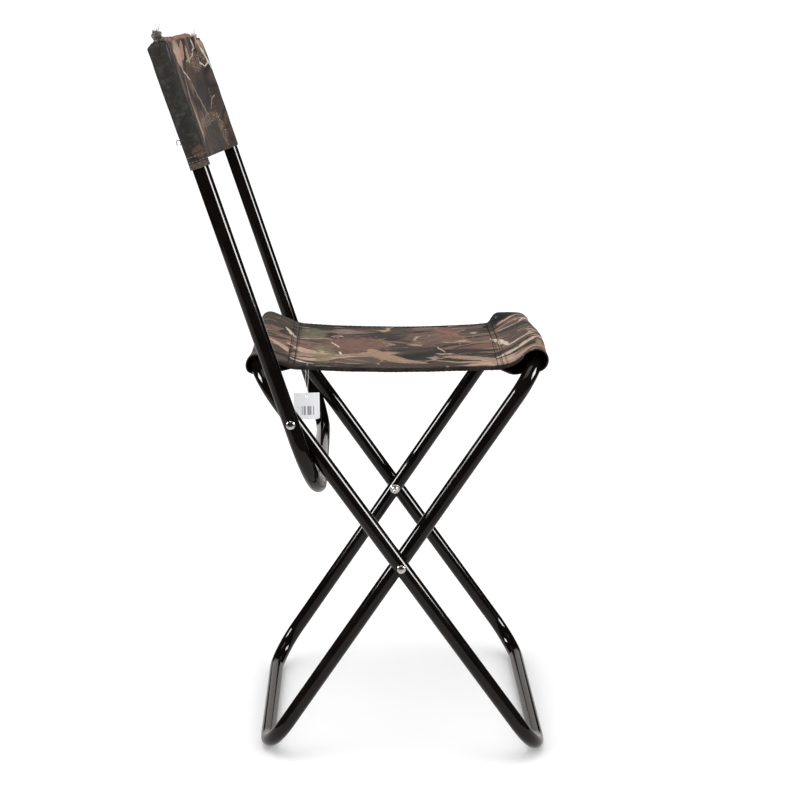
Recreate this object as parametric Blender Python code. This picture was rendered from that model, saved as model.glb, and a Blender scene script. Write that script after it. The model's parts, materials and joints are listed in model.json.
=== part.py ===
"""Folding camp chair with a backrest: two crossed tube frames, a fabric seat sling and a tilting back frame.

Metres, +Z up. X is the chair's width and the chair faces -Y.
"""

import math

import bmesh
import bpy
from mathutils import Matrix, Vector

# Round steel tube of all three frames
TUBE_R = 0.008
TUBE_WALL = 0.001
TUBE_SIDES = 16
BEND_STEPS = 6
GAP = 0.0003

# Crossed legs: each frame is a closed loop that turns on the leg rivets
LEG_ANGLE = math.radians(34.5)
OUTER_HALF = 0.152
INNER_HALF = 0.134
LEG_UP = 0.247
LEG_DOWN = 0.251
LEG_BEND_R = 0.042
BUTT_GAP = 0.0006

# Back frame: a U that turns on rivets through the outer frame's upper legs
BACK_ANGLE = math.radians(17.6)
BACK_HALF = 0.1692
BACK_PIVOT_UP = 0.188
BACK_UP = 0.376
BACK_TAIL = 0.082
BACK_BEND_R = 0.064

# Rivets, washers and plugs
RIVET_R = 0.0025
RIVET_HEAD_R = 0.0044
RIVET_HEAD_H = 0.0022
RIVET_HEAD_EDGE = 0.0003
CLINCH_R = 0.0038
CLINCH_H = 0.0018
HOLE_R = 0.0028
WASHER_R = 0.0055
WASHER_T = 0.0008
SPACER_R = 0.006
FERRULE_HALF = 0.03
CAP_FLANGE = 0.002
CAP_STEM = 0.012
CAP_CHAMFER = 0.0006
CAP_LEAD = 0.0015
CAP_ROUND = 0.0012
TURNED_SIDES = 20

# Seat sling: sleeves over both top bars, stitched down SEAM from each bar
CLOTH_T = 0.0016
SLEEVE_GAP = 0.0006
SEAT_HALF = 0.125
SEAT_WAIST = 0.006
SEAT_SAG = 0.0075
SEAM = 0.037
SEAM_DROP = 0.0015
BELLY = 0.0011
SLEEVE_LIP = math.radians(200)
LIP_OVERLAP = 0.2
BINDING_W = 0.0024
BINDING_T = 0.0026
BINDING_START = 0.014

# Back sling: a sheet with a sleeve over each upright
BAND_LOW = 0.264
BAND_SLEEVE_LOW = 0.259
BAND_TOP = 0.381
BAND_CORNER = 0.3795
BAND_EDGE = 0.009
SLEEVE_SKIN = 0.0013
HEM_H = 0.0046
HEM_T = 0.003
HEM_HALF = 0.152
HEM_ROUND = 0.0012
CUTTER_EXTRA = 0.02

# Hang tag on its nylon loop, through an eyelet at the seat's left edge
TAG_W = 0.026
TAG_H = 0.027
TAG_T = 0.0004
TAG_DROP = 0.027
TAG_FORWARD = 0.049
TAG_INSET = 0.006
TAG_HOLE_R = 0.0014
TAG_HOLE_DOWN = 0.0032
EYELET_R = 0.0015
LOOP_R = 0.0004
LOOP_TOP = 0.0026
LOOP_HALF = 0.0056
LOOP_SPREAD = 0.00995
LOOP_POINTS = 36
LOOP_SLACK = 0.0004
LOOP_FOOT = 0.35

# Where the leg rivets' axis crosses the side plane. The tube's lowest facet rests on the ground.
PIVOT_Y = -0.0405
FOOT = TUBE_R * math.cos(math.pi / TUBE_SIDES)
PIVOT_Z = FOOT + LEG_DOWN * math.cos(LEG_ANGLE)
HALF_CHORD = LEG_UP * math.sin(LEG_ANGLE)

# Colours are linear RGB
STEEL_BLACK = ("black_enamel", (0.006, 0.005, 0.005), 0.18, 0.0)
STEEL_BARE = ("bare_steel", (0.52, 0.51, 0.49), 0.3, 1.0)
NICKEL = ("nickel", (0.72, 0.71, 0.69), 0.22, 1.0)
PLASTIC = ("black_plastic", (0.012, 0.012, 0.012), 0.5, 0.0)
CAMO = ("camo_cloth", (0.13, 0.085, 0.06), 0.85, 0.0)
CAMO_DARK = ("camo_cloth_back", (0.085, 0.06, 0.05), 0.85, 0.0)
TAPE = ("edge_tape", (0.02, 0.018, 0.016), 0.8, 0.0)
HEM = ("hem_cloth", (0.16, 0.07, 0.05), 0.85, 0.0)
CARD = ("white_card", (0.86, 0.86, 0.87), 0.6, 0.0)
NYLON = ("clear_nylon", (0.7, 0.7, 0.7), 0.35, 0.0)


def clear_scene():
    for obj in list(bpy.data.objects):
        bpy.data.objects.remove(obj)


def material(spec):
    name, colour, roughness, metallic = spec
    found = bpy.data.materials.get(name)
    if found:
        return found
    made = bpy.data.materials.new(name)
    made.use_nodes = True
    shader = made.node_tree.nodes["Principled BSDF"]
    shader.inputs["Base Color"].default_value = (*colour, 1)
    shader.inputs["Roughness"].default_value = roughness
    shader.inputs["Metallic"].default_value = metallic
    return made


def empty(name, location, tilt=0.0, parent=None):
    """An axis that a moving piece hangs on, tilted about X."""
    made = bpy.data.objects.new(name, None)
    bpy.context.scene.collection.objects.link(made)
    made.matrix_world = Matrix.Translation(location) @ Matrix.Rotation(tilt, 4, "X")
    keep_place(made, parent)
    return made


def keep_place(obj, parent):
    bpy.context.view_layer.update()
    if parent is not None:
        obj.parent = parent
        obj.matrix_parent_inverse = parent.matrix_world.inverted()


def add(name, mesh_builder, spec, axis, local=None):
    """One object from a bmesh, in the axis's own frame and parented to it."""
    bm = bmesh.new()
    mesh_builder(bm)
    bmesh.ops.recalc_face_normals(bm, faces=bm.faces)
    mesh = bpy.data.meshes.new(name)
    bm.to_mesh(mesh)
    bm.free()
    mesh.shade_smooth()
    mesh.set_sharp_from_angle(angle=math.radians(40))
    obj = bpy.data.objects.new(name, mesh)
    bpy.context.scene.collection.objects.link(obj)
    if spec:
        mesh.materials.append(material(spec))
    obj.parent = axis
    obj.matrix_local = local or Matrix.Identity(4)
    return obj


def boolean(obj, other, operation):
    """Cuts or joins with a helper object that isn't part of the chair."""
    other.hide_render = True
    other.display_type = "WIRE"
    modifier = obj.modifiers.new(f"{operation.lower()}_{other.name}", "BOOLEAN")
    modifier.operation = operation
    modifier.solver = "EXACT"
    modifier.object = other


def filleted(corners, radius):
    """An open path in the XZ plane through these corners, each rounded to the radius."""
    path = [corners[0]]
    for before, corner, after in zip(corners, corners[1:], corners[2:]):
        into = (corner - before).normalized()
        out = (after - corner).normalized()
        turn = into.angle(out)
        axis = into.cross(out).normalized()
        start = corner - into * radius * math.tan(turn / 2)
        centre = start + axis.cross(into) * radius
        for step in range(BEND_STEPS + 1):
            spin = Matrix.Rotation(turn * step / BEND_STEPS, 3, axis)
            path.append(centre + spin @ (start - centre))
    path.append(corners[-1])
    return path


def tangents(path):
    ahead = [(b - a).normalized() for a, b in zip(path, path[1:])]
    return [(a + b).normalized() for a, b in zip([ahead[0], *ahead], [*ahead, ahead[-1]])]


def hollow_tube(path, outer, inner, phase=0.0):
    """A builder for a tube with a wall and open ends along a path in the XZ plane."""

    def build(bm):
        shells = []
        for radius in (outer, inner):
            rings = []
            for point, along in zip(path, tangents(path)):
                side = along.cross(Vector((0, 1, 0)))
                ring = []
                for k in range(TUBE_SIDES):
                    angle = phase + 2 * math.pi * k / TUBE_SIDES
                    offset = Vector((0, 1, 0)) * math.cos(angle) + side * math.sin(angle)
                    ring.append(bm.verts.new(point + radius * offset))
                rings.append(ring)
            shells.append(rings)
            for ring, after in zip(rings, rings[1:]):
                join_rings(bm, ring, after)
        for end in (0, -1):
            join_rings(bm, shells[0][end], shells[1][end])

    return build


def join_rings(bm, ring, after):
    for k in range(len(ring)):
        following = (k + 1) % len(ring)
        bm.faces.new((ring[k], ring[following], after[following], after[k]))


def turned(profile, closed=False):
    """A builder for a solid turned about X from (radius, x) points. A closed profile leaves a hole."""

    def build(bm):
        rings = []
        for radius, along in profile:
            if radius == 0:
                rings.append([bm.verts.new((along, 0, 0))])
                continue
            ring = []
            for k in range(TURNED_SIDES):
                angle = 2 * math.pi * k / TURNED_SIDES
                ring.append(bm.verts.new((along, radius * math.cos(angle), radius * math.sin(angle))))
            rings.append(ring)
        pairs = list(zip(rings, rings[1:]))
        if closed:
            pairs.append((rings[-1], rings[0]))
        for ring, after in pairs:
            if len(ring) == 1 or len(after) == 1:
                tip, rim = (ring[0], after) if len(ring) == 1 else (after[0], ring)
                for k in range(TURNED_SIDES):
                    bm.faces.new((tip, rim[k], rim[(k + 1) % TURNED_SIDES]))
            else:
                join_rings(bm, ring, after)

    return build


def washer(hole, rim, low, high):
    return turned([(hole, low), (rim, low), (rim, high), (hole, high)], closed=True)


def pin(radius, length, name, axis, local=None):
    """A cutter: a rod along X, centred on its frame."""
    ends = [(0, -length / 2), (radius, -length / 2), (radius, length / 2), (0, length / 2)]
    return add(name, turned(ends), None, axis, local)


def thick_sheet(line, half_width, thickness):
    """A builder for a sheet along a line in the YZ plane. half_width(point) gives its low and high X."""

    def build(bm):
        rows = []
        for point, along in zip(line, tangents(line)):
            normal = Vector((0, -along.z, along.y)) * thickness / 2
            low, high = half_width(point)
            row = []
            for x, shift in ((low, normal), (high, normal), (high, -normal), (low, -normal)):
                row.append(bm.verts.new(Vector((x, point.y, point.z)) + shift))
            rows.append(row)
        for row, after in zip(rows, rows[1:]):
            join_rings(bm, row, after)
        bm.faces.new(rows[0])
        bm.faces.new(rows[-1])

    return build


def arc(radius, start, end, steps):
    points = []
    for k in range(steps + 1):
        angle = start + (end - start) * k / steps
        points.append(Vector((0, radius * math.cos(angle), radius * math.sin(angle))))
    return points


# --- frames -------------------------------------------------------------------------------------


def leg_frame(name, half, axis, lean):
    """A closed loop of tube, butted at the middle of its top bar, with the rivet axis at its origin."""
    corners = [
        Vector((BUTT_GAP / 2, 0, LEG_UP)),
        Vector((half, 0, LEG_UP)),
        Vector((half, 0, -LEG_DOWN)),
        Vector((-half, 0, -LEG_DOWN)),
        Vector((-half, 0, LEG_UP)),
        Vector((-BUTT_GAP / 2, 0, LEG_UP)),
    ]
    ground = math.atan2(math.cos(LEG_ANGLE), -math.sin(lean))
    phase = ground - math.pi / TUBE_SIDES
    path = filleted(corners, LEG_BEND_R)
    frame = add(name, hollow_tube(path, TUBE_R, TUBE_R - TUBE_WALL, phase), STEEL_BLACK, axis)
    boolean(frame, pin(HOLE_R, 3 * half, f"{name}_rivet_drill", axis), "DIFFERENCE")
    return frame


def ferrule(name, axis):
    """The short inner tube that joins the butted ends of a loop."""
    path = [Vector((-FERRULE_HALF, 0, LEG_UP)), Vector((FERRULE_HALF, 0, LEG_UP))]
    outside = TUBE_R - TUBE_WALL - GAP
    add(name, hollow_tube(path, outside, outside - TUBE_WALL), STEEL_BARE, axis)


def back_frame(axis):
    corners = [
        Vector((BACK_HALF, 0, BACK_UP)),
        Vector((BACK_HALF, 0, -BACK_TAIL)),
        Vector((-BACK_HALF, 0, -BACK_TAIL)),
        Vector((-BACK_HALF, 0, BACK_UP)),
    ]
    path = filleted(corners, BACK_BEND_R)
    frame = add("back_frame", hollow_tube(path, TUBE_R, TUBE_R - TUBE_WALL), STEEL_BLACK, axis)
    boolean(frame, pin(HOLE_R, 3 * BACK_HALF, "back_frame_rivet_drill", axis), "DIFFERENCE")


def upright_cap(name, side, axis):
    """A plastic plug in the open top of an upright."""
    stem = TUBE_R - TUBE_WALL - GAP
    profile = [
        (0, -CAP_STEM),
        (stem - CAP_CHAMFER, -CAP_STEM),
        (stem, -CAP_STEM + CAP_LEAD),
        (stem, GAP),
        (TUBE_R, GAP),
        (TUBE_R, GAP + 0.6 * CAP_FLANGE),
        (TUBE_R - CAP_ROUND, GAP + CAP_FLANGE),
        (0, GAP + CAP_FLANGE),
    ]
    stand = Matrix.Translation((side * BACK_HALF, 0, BACK_UP)) @ Matrix.Rotation(-math.pi / 2, 4, "Y")
    add(name, turned(profile), PLASTIC, axis, stand)


# --- rivets -------------------------------------------------------------------------------------


def rivet(name, head_x, clinch_x, turn, axis):
    """A domed rivet along X: its head sits at head_x and its clinched end at clinch_x."""
    dome = [(0, head_x + RIVET_HEAD_H)]
    for k in range(1, 4):
        angle = math.pi / 2 * k / 4
        dome.append((RIVET_HEAD_R * math.sin(angle), head_x + RIVET_HEAD_H * math.cos(angle)))
    profile = [
        *dome,
        (RIVET_HEAD_R, head_x + RIVET_HEAD_EDGE),
        (RIVET_HEAD_R, head_x),
        (RIVET_R, head_x),
        (RIVET_R, clinch_x),
        (CLINCH_R, clinch_x),
        (CLINCH_R, clinch_x - 0.6 * CLINCH_H),
        (0.7 * CLINCH_R, clinch_x - CLINCH_H),
        (0.4 * CLINCH_R, clinch_x - CLINCH_H),
        (0, clinch_x - 0.5 * CLINCH_H),
    ]
    add(name, turned(profile), NICKEL, axis, turn)


def riveted_joint(prefix, outside, inside, axis):
    """On each side: a rivet, the spacer between the two tubes and the washer under the clinched end.

    outside and inside are the half widths of the two frames that it joins.
    """
    space_low = inside + TUBE_R + GAP
    space_high = outside - TUBE_R - GAP
    washer_high = inside - TUBE_R - GAP
    washer_low = washer_high - WASHER_T
    for name, turn in (("right", Matrix.Identity(4)), ("left", Matrix.Rotation(math.pi, 4, "Z"))):
        rivet(f"{prefix}_rivet_{name}", outside + TUBE_R + GAP, washer_low - GAP, turn, axis)
        spacer = washer(HOLE_R, SPACER_R, space_low, space_high)
        add(f"{prefix}_spacer_{name}", spacer, NICKEL, axis, turn)
        seat = washer(HOLE_R, WASHER_R, washer_low, washer_high)
        add(f"{prefix}_rivet_washer_{name}", seat, NICKEL, axis, turn)


# --- seat ---------------------------------------------------------------------------------------


def seat_lines(towards):
    """The sling's centreline from the middle over the top of a bar, and its lower layer.

    The bar is at the origin and towards is the sign of Y on the side of the chair's middle.
    """
    radius = TUBE_R + SLEEVE_GAP + CLOTH_T / 2
    seam = Vector((0, SEAM, -SEAM_DROP))
    lift = math.atan2(seam.z, seam.y)
    touch = math.acos(radius / seam.length)
    middle = Vector((0, HALF_CHORD - GAP / 2, -SEAT_SAG))
    belly = seam.lerp(middle, 0.5) - Vector((0, 0, BELLY))
    upper = [middle, belly, seam, *arc(radius, lift + touch, SLEEVE_LIP, 8)]
    lower = arc(radius, SLEEVE_LIP - LIP_OVERLAP, 2 * math.pi + lift - touch, 7)
    lower.append(seam.lerp(middle, 0.05))
    for point in (*upper, *lower):
        point.y *= towards
    return upper, lower


def seat_half_at(point):
    """The sheet's half width, which draws in a little from the bars to the middle."""
    along = min(abs(point.y) / HALF_CHORD, 1)
    return SEAT_HALF - SEAT_WAIST * math.sin(along * math.pi / 2)


def sheet_sides(point):
    return -seat_half_at(point), seat_half_at(point)


def binding_sides(sign):
    """Where the tape lies beside the sheet's right or left edge, by the sign of X."""

    def sides(point):
        near = seat_half_at(point) + GAP
        return sorted((sign * near, sign * (near + BINDING_W)))

    return sides


def seat_half(name, towards, straight, axis):
    """One half of the sling, with its sleeve closed below as far as the bar is straight."""
    upper, lower = seat_lines(towards)
    half = add(f"seat_sling_{name}", thick_sheet(upper, sheet_sides, CLOTH_T), CAMO, axis)
    under = thick_sheet(lower, lambda point: (-straight, straight), CLOTH_T)
    boolean(half, add(f"seat_{name}_lower_layer", under, None, axis), "UNION")
    line = [*upper[:3], upper[2].lerp(upper[3], 1 - BINDING_START / SEAM)]
    for side, sign in (("right", 1), ("left", -1)):
        tape = thick_sheet(line, binding_sides(sign), BINDING_T)
        add(f"seat_binding_{name}_{side}", tape, TAPE, axis)
    return half


# --- back sling ---------------------------------------------------------------------------------


def upright_rod(radius, low, high, side):
    """A builder for a rod along an upright, from low to high above the rivets."""

    def build(bm):
        turned([(0, low), (radius, low), (radius, high), (0, high)])(bm)
        stand = Matrix.Translation((side * BACK_HALF, 0, 0)) @ Matrix.Rotation(-math.pi / 2, 4, "Y")
        bmesh.ops.transform(bm, matrix=stand, verts=bm.verts)

    return build


def box(low, high):
    """A builder for a box from its low to its high corner."""

    def build(bm):
        bmesh.ops.create_cube(bm, size=1)
        size = [b - a for a, b in zip(low, high)]
        centre = [(a + b) / 2 for a, b in zip(low, high)]
        bmesh.ops.scale(bm, vec=size, verts=bm.verts)
        bmesh.ops.translate(bm, vec=centre, verts=bm.verts)

    return build


def back_sling(axis):
    """The back's sheet, with a sleeve closed at the top over each upright."""
    edge = BACK_HALF - BAND_EDGE
    sheet = box((-edge, -CLOTH_T / 2, BAND_LOW), (edge, CLOTH_T / 2, BAND_TOP))
    sling = add("back_sling", sheet, CAMO_DARK, axis)
    room = TUBE_R + SLEEVE_GAP
    for name, side in (("right", 1), ("left", -1)):
        skin = upright_rod(room + SLEEVE_SKIN, BAND_SLEEVE_LOW, BAND_CORNER + CLOTH_T, side)
        boolean(sling, add(f"back_sleeve_{name}", skin, None, axis), "UNION")
    for name, side in (("right", 1), ("left", -1)):
        bore = upright_rod(room, BAND_SLEEVE_LOW - CUTTER_EXTRA, BAND_CORNER, side)
        boolean(sling, add(f"back_sleeve_bore_{name}", bore, None, axis), "DIFFERENCE")
    low = BAND_TOP + GAP
    roll = box((-HEM_HALF, -HEM_T / 2, low), (HEM_HALF, HEM_T / 2, low + HEM_H))
    hem = add("back_hem", roll, HEM, axis)
    modifier = hem.modifiers.new("soft_edges", "BEVEL")
    modifier.width = HEM_ROUND
    modifier.segments = 2


# --- hang tag -----------------------------------------------------------------------------------


def hang_tag(axis, sheet):
    """A card that hangs below the seat's left edge. Its axis lies in the eyelet, in the sheet."""
    card_x = -LOOP_HALF
    top = -TAG_DROP
    low = (card_x - TAG_T / 2, -TAG_W / 2, top - TAG_H)
    high = (card_x + TAG_T / 2, TAG_W / 2, top)
    card = add("hang_tag", box(low, high), CARD, axis)
    punched = Matrix.Translation((card_x, 0, top - TAG_HOLE_DOWN))
    boolean(card, pin(TAG_HOLE_R, CUTTER_EXTRA, "hang_tag_punch", axis, punched), "DIFFERENCE")
    curve = bpy.data.curves.new("tag_loop", "CURVE")
    curve.dimensions = "3D"
    curve.bevel_depth = LOOP_R
    curve.bevel_resolution = 2
    curve.materials.append(material(NYLON))
    spline = curve.splines.new("POLY")
    spline.points.add(LOOP_POINTS - 1)
    spline.use_cyclic_u = True
    bottom = top - TAG_HOLE_DOWN - TAG_HOLE_R + LOOP_R + LOOP_SLACK
    for k, point in enumerate(spline.points):
        angle = 2 * math.pi * k / LOOP_POINTS
        rise = (1 - math.cos(angle)) / 2
        width = LOOP_SPREAD * math.sin(angle) * (LOOP_FOOT + (1 - LOOP_FOOT) * rise**0.5)
        height = bottom + (LOOP_TOP - bottom) * rise
        point.co = (card_x + width, 0, height, 1)
    loop = bpy.data.objects.new("tag_loop", curve)
    bpy.context.scene.collection.objects.link(loop)
    loop.parent = axis
    upright = Matrix.Rotation(math.pi / 2, 4, "Y")
    boolean(sheet, pin(EYELET_R, CUTTER_EXTRA, "eyelet_punch", axis, upright), "DIFFERENCE")


def build():
    clear_scene()
    rivets_at = Vector((0, PIVOT_Y, PIVOT_Z))
    outer_axis = empty("outer_frame_axis", rivets_at, -LEG_ANGLE)
    inner_axis = empty("leg_fold_axis", rivets_at, LEG_ANGLE)
    up_back = Vector((0, math.sin(LEG_ANGLE), math.cos(LEG_ANGLE)))
    up_front = Vector((0, -math.sin(LEG_ANGLE), math.cos(LEG_ANGLE)))
    back_axis = empty("back_fold_axis", rivets_at + BACK_PIVOT_UP * up_back, -BACK_ANGLE, outer_axis)
    rear_axis = empty("seat_rear_axis", rivets_at + LEG_UP * up_back, 0, outer_axis)
    front_axis = empty("seat_front_axis", rivets_at + LEG_UP * up_front, 0, inner_axis)

    outer = leg_frame("outer_leg_frame", OUTER_HALF, outer_axis, -LEG_ANGLE)
    high = Matrix.Translation((0, 0, BACK_PIVOT_UP))
    drill = pin(HOLE_R, 3 * OUTER_HALF, "outer_frame_back_drill", outer_axis, high)
    boolean(outer, drill, "DIFFERENCE")
    leg_frame("inner_leg_frame", INNER_HALF, inner_axis, LEG_ANGLE)
    ferrule("outer_frame_ferrule", outer_axis)
    ferrule("inner_frame_ferrule", inner_axis)
    riveted_joint("leg", OUTER_HALF, INNER_HALF, outer_axis)
    back_frame(back_axis)
    upright_cap("upright_cap_right", 1, back_axis)
    upright_cap("upright_cap_left", -1, back_axis)
    riveted_joint("back", BACK_HALF, OUTER_HALF, back_axis)
    rear = seat_half("rear", -1, OUTER_HALF - LEG_BEND_R - GAP, rear_axis)
    seat_half("front", 1, INNER_HALF - LEG_BEND_R - GAP, front_axis)
    back_sling(back_axis)

    sheet_drop = SEAM_DROP + (SEAT_SAG - SEAM_DROP) * (TAG_FORWARD - SEAM) / (HALF_CHORD - SEAM)
    eyelet = Vector((-SEAT_HALF + SEAT_WAIST / 2 + TAG_INSET, -TAG_FORWARD, -sheet_drop))
    tag_axis = empty("tag_axis", rear_axis.matrix_world.translation + eyelet, 0, rear_axis)
    hang_tag(tag_axis, rear)


build()
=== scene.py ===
"""Looks of the folding camp chair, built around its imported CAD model. Metres, in the row frame."""

import json
import math
import random

import bmesh
import bpy
import numpy as np
from mathutils import Euler, Matrix, Vector, noise


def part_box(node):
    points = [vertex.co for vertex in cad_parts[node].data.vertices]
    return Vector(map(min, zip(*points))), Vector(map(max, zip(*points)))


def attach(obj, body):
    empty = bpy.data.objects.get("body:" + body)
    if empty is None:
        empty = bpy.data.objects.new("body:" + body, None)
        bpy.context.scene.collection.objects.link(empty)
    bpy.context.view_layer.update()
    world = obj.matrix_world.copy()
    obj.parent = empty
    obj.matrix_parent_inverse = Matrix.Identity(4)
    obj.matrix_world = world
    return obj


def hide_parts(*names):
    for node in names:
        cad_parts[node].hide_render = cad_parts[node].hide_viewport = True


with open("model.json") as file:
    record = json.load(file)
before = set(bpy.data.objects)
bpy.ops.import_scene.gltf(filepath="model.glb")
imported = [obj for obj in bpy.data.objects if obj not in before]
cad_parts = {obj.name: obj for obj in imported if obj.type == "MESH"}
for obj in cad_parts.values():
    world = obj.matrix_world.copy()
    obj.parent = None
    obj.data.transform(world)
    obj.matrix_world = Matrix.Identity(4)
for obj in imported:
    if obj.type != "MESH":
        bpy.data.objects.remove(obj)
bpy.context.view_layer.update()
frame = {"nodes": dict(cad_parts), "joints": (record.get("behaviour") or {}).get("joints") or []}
AT = {joint["name"]: Vector(joint["pos_m"]) for joint in frame["joints"]}
LEGS, BACK = AT["leg_fold"], AT["back_fold"]
REAR, FRONT, TAG = AT["seat_rear_fold"], AT["seat_front_fold"], AT["tag_swing"]

# Sizes that the CAD model has too
TUBE_R = 0.008
WALL = 0.001
GAP = 0.0003
LEG_ANGLE = math.radians(34.5)
OUTER_HALF = 0.152
INNER_HALF = 0.134
LEG_UP = 0.247
LEG_DOWN = 0.251
LEG_BEND = 0.042
BACK_ANGLE = math.radians(17.6)
BACK_HALF = 0.1692
BACK_UP = 0.376
BACK_TAIL = 0.082
BACK_BEND = 0.064


# --- small tools ---


def smooth(x, low=0.0, high=1.0):
    """0 below low, 1 above high, with a soft step between."""
    t = np.clip((np.asarray(x, float) - low) / (high - low), 0, 1)
    return t * t * (3 - 2 * t)


def mesh_object(name, points, faces, made, sharp=40, shades=None, out=False):
    """An object from points and faces. shades gives each face's material, and out turns them outward."""
    mesh = bpy.data.meshes.new(name)
    mesh.from_pydata([tuple(p) for p in points], [], faces)
    for material in made:
        mesh.materials.append(material)
    if shades is not None:
        mesh.polygons.foreach_set("material_index", np.asarray(shades, np.int32))
    if out:
        bm = bmesh.new()
        bm.from_mesh(mesh)
        bmesh.ops.recalc_face_normals(bm, faces=bm.faces)
        bm.to_mesh(mesh)
        bm.free()
    mesh.shade_smooth()
    if sharp:
        mesh.set_sharp_from_angle(angle=math.radians(sharp))
    mesh.update()
    obj = bpy.data.objects.new(name, mesh)
    bpy.context.scene.collection.objects.link(obj)
    return obj


def place(obj, body, slot, *nodes):
    """Hangs a finished piece on its body, in place of these CAD nodes."""
    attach(obj, body)
    if nodes:
        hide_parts(*nodes)
    return obj


def circle(sides):
    """The cosine and sine of this many even turns."""
    return [(math.cos(2 * math.pi * k / sides), math.sin(2 * math.pi * k / sides)) for k in range(sides)]


def ring_faces(a, b, sides):
    """Quads between two rings of points, from the number of each ring's first point."""
    return [(a + k, a + (k + 1) % sides, b + (k + 1) % sides, b + k) for k in range(sides)]


def rod_faces(rings, sides):
    """Quads between successive rings of points, and a cap on each end."""
    last = (rings - 1) * sides
    faces = [tuple(range(sides))[::-1], tuple(range(last, last + sides))]
    for i in range(rings - 1):
        faces += ring_faces(i * sides, (i + 1) * sides, sides)
    return faces


def filleted(corners, radius, steps):
    """A path through these corners, each rounded to the radius."""
    path = [corners[0]]
    for before, corner, after in zip(corners, corners[1:], corners[2:]):
        into = (corner - before).normalized()
        out = (after - corner).normalized()
        turn = into.angle(out)
        axis = into.cross(out).normalized()
        start = corner - into * radius * math.tan(turn / 2)
        centre = start + axis.cross(into) * radius
        for step in range(steps + 1):
            spin = Matrix.Rotation(turn * step / steps, 3, axis)
            path.append(centre + spin @ (start - centre))
    path.append(corners[-1])
    return path


def frames_along(path):
    """Each point's direction, and two directions square to it that don't twist."""
    ahead = [(b - a).normalized() for a, b in zip(path, path[1:])]
    along = [(a + b).normalized() for a, b in zip([ahead[0], *ahead], [*ahead, ahead[-1]])]
    side = along[0].orthogonal().normalized()
    out = []
    for d in along:
        side = (side - d * side.dot(d)).normalized()
        out.append((d, side, d.cross(side)))
    return out


def tube(path, thick, sides):
    """Points and faces of a solid round rod along a path. thick is a radius, or one for each point."""
    radii = thick if isinstance(thick, list) else [thick] * len(path)
    points = []
    for p, r, (_, a, b) in zip(path, radii, frames_along(path)):
        points += [p + r * (a * c + b * s) for c, s in circle(sides)]
    return points, rod_faces(len(path), sides)


class Parts:
    """Collects many small solids into one mesh."""

    def __init__(self):
        self.points, self.faces = [], []

    def add(self, points, faces):
        base = len(self.points)
        self.points.extend(points)
        self.faces.extend(tuple(base + i for i in face) for face in faces)

    def build(self, name, made, sharp=40):
        return mesh_object(name, self.points, self.faces, made, sharp)


# --- materials ---


class Graph:
    """Builds one material's nodes."""

    def __init__(self, name):
        self.material = bpy.data.materials.new(name)
        self.material.use_nodes = True
        self.tree = self.material.node_tree
        self.tree.nodes.clear()
        self.out = self.node("OutputMaterial")

    def node(self, kind, inputs=None, **settings):
        made = self.tree.nodes.new("ShaderNode" + kind)
        for key, value in settings.items():
            setattr(made, key, value)
        for key, value in (inputs or {}).items():
            self.put(made.inputs[key], value)
        return made

    def put(self, socket, value):
        if isinstance(value, bpy.types.NodeSocket):
            self.tree.links.new(value, socket)
        else:
            socket.default_value = (*value, 1) if socket.type == "RGBA" else value

    def math(self, operation, a, b=0.0, c=0.0, clamp=False):
        inputs = {0: a, 1: b, 2: c}
        return self.node("Math", inputs, operation=operation, use_clamp=clamp).outputs[0]

    def times(self, a, b):
        return self.math("MULTIPLY", a, b)

    def mix(self, share, a, b):
        return self.node("Mix", {0: share, 6: a, 7: b}, data_type="RGBA").outputs[2]

    def step(self, value, low, high, to_low=0.0, to_high=1.0):
        inputs = dict(enumerate((value, low, high, to_low, to_high)))
        return self.node("MapRange", inputs, interpolation_type="SMOOTHSTEP").outputs[0]

    def blend(self, field, low, high, a, b, top=1.0):
        """Colour a where the field is under low, and this share of colour b where it is over high."""
        return self.mix(self.step(field, low, high, 0.0, top), a, b)

    def noise(self, vector, scale, detail=2.0, rough=0.5, out=0):
        inputs = {"Vector": vector, "Scale": scale, "Detail": detail, "Roughness": rough}
        return self.node("TexNoise", inputs).outputs[out]

    def cells(self, vector, scale, feature="F1"):
        return self.node("TexVoronoi", {"Vector": vector, "Scale": scale}, feature=feature).outputs

    def ramp(self, value, stops):
        made = self.node("ValToRGB", {0: value})
        spots = made.color_ramp.elements
        while len(spots) < len(stops):
            spots.new(0.5)
        for spot, (at, colour) in zip(spots, stops):
            spot.position = at
            spot.color = (*colour, 1)
        return made.outputs[0]

    def mapped(self, vector, scale=(1, 1, 1), turn=0.0, move=(0, 0, 0)):
        inputs = {"Vector": vector, "Location": move, "Rotation": (0, 0, turn), "Scale": scale}
        return self.node("Mapping", inputs).outputs[0]

    def here(self):
        return self.node("TexCoord").outputs["Object"]

    def flat(self):
        """Places on the flat cloth, in metres."""
        return self.node("UVMap", uv_map="cloth").outputs[0]

    def split(self, vector):
        return self.node("SeparateXYZ", {0: vector}).outputs

    def channels(self, colour):
        return self.node("SeparateColor", {0: colour}).outputs

    def shader(self, colour, rough, bump=None, bump_size=0.0, **fixed):
        made = self.node("BsdfPrincipled", {"Base Color": colour, "Roughness": rough})
        for key, value in fixed.items():
            made.inputs[key.replace("_", " ")].default_value = value
        if bump is not None:
            lump = self.node("Bump", {"Strength": 1.0, "Distance": bump_size, "Height": bump})
            self.put(made.inputs["Normal"], lump.outputs[0])
        self.put(self.out.inputs[0], made.outputs[0])
        return self.material


def dim(colour, share):
    return [share * c for c in colour]


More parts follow.
